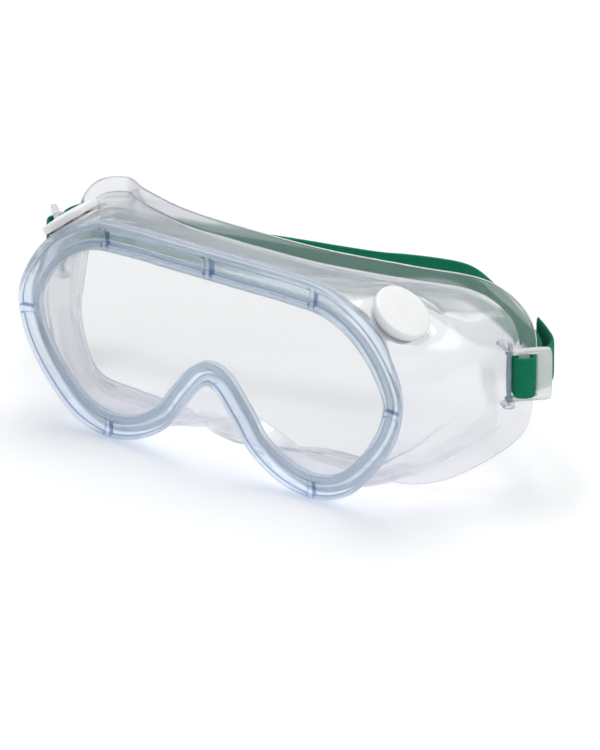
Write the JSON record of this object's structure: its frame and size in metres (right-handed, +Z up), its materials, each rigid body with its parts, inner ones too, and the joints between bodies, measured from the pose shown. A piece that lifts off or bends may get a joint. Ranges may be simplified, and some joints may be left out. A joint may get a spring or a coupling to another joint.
{
  "type": "safety goggles",
  "caption": "Splash goggles with a two-lobed soft rim, clear lens and face skirt, capped shoulder vents, and an elastic strap in clear hinged buckles.",
  "frame": {"origin": "under the middle of the goggles and their strap, on the surface that the rim and skirt stand on", "axes": "+X to the wearer's left, +Y from the lens towards the face and the strap, +Z up"},
  "size_m": [0.182, 0.0856, 0.0707],
  "materials": {
    "tinted_rim": "gloss",
    "clear_lens": "polished",
    "clear_skirt": "satin",
    "clear_buckle": "gloss",
    "white_plastic": "satin",
    "elastic": "matte"
  },
  "bodies": {
    "root": {"front_rim": "tinted_rim", "lens": "clear_lens", "face_skirt": "clear_skirt", "vent_body_left": "white_plastic", "vent_body_right": "white_plastic", "strap_lug_left": "clear_skirt", "strap_lug_right": "clear_skirt", "strap_back": "elastic"},
    "cap_left": {"vent_cap_left": "white_plastic"},
    "cap_right": {"vent_cap_right": "white_plastic"},
    "buckle_left": {"buckle_left": "clear_buckle", "strap_end_left": "elastic"},
    "buckle_right": {"buckle_right": "clear_buckle", "strap_end_right": "elastic"}
  },
  "joints": [
    {"name": "buckle_left_swing", "type": "hinge", "parent": "root", "child": "buckle_left", "pos_m": [-0.0815, -0.0046, 0.03804], "axis": [0, 0, 1], "range_deg": [0, 60]},
    {"name": "buckle_right_swing", "type": "hinge", "parent": "root", "child": "buckle_right", "pos_m": [0.0815, -0.0046, 0.03804], "axis": [0, 0, -1], "range_deg": [0, 60]},
    {"name": "cap_left_lift", "type": "slide", "parent": "root", "child": "cap_left", "axis": [-0.6115, 0, 0.7912], "range_m": [0, 0.008]},
    {"name": "cap_right_lift", "type": "slide", "parent": "root", "child": "cap_right", "axis": [0.6115, 0, 0.7912], "range_m": [0, 0.008]}
  ]
}
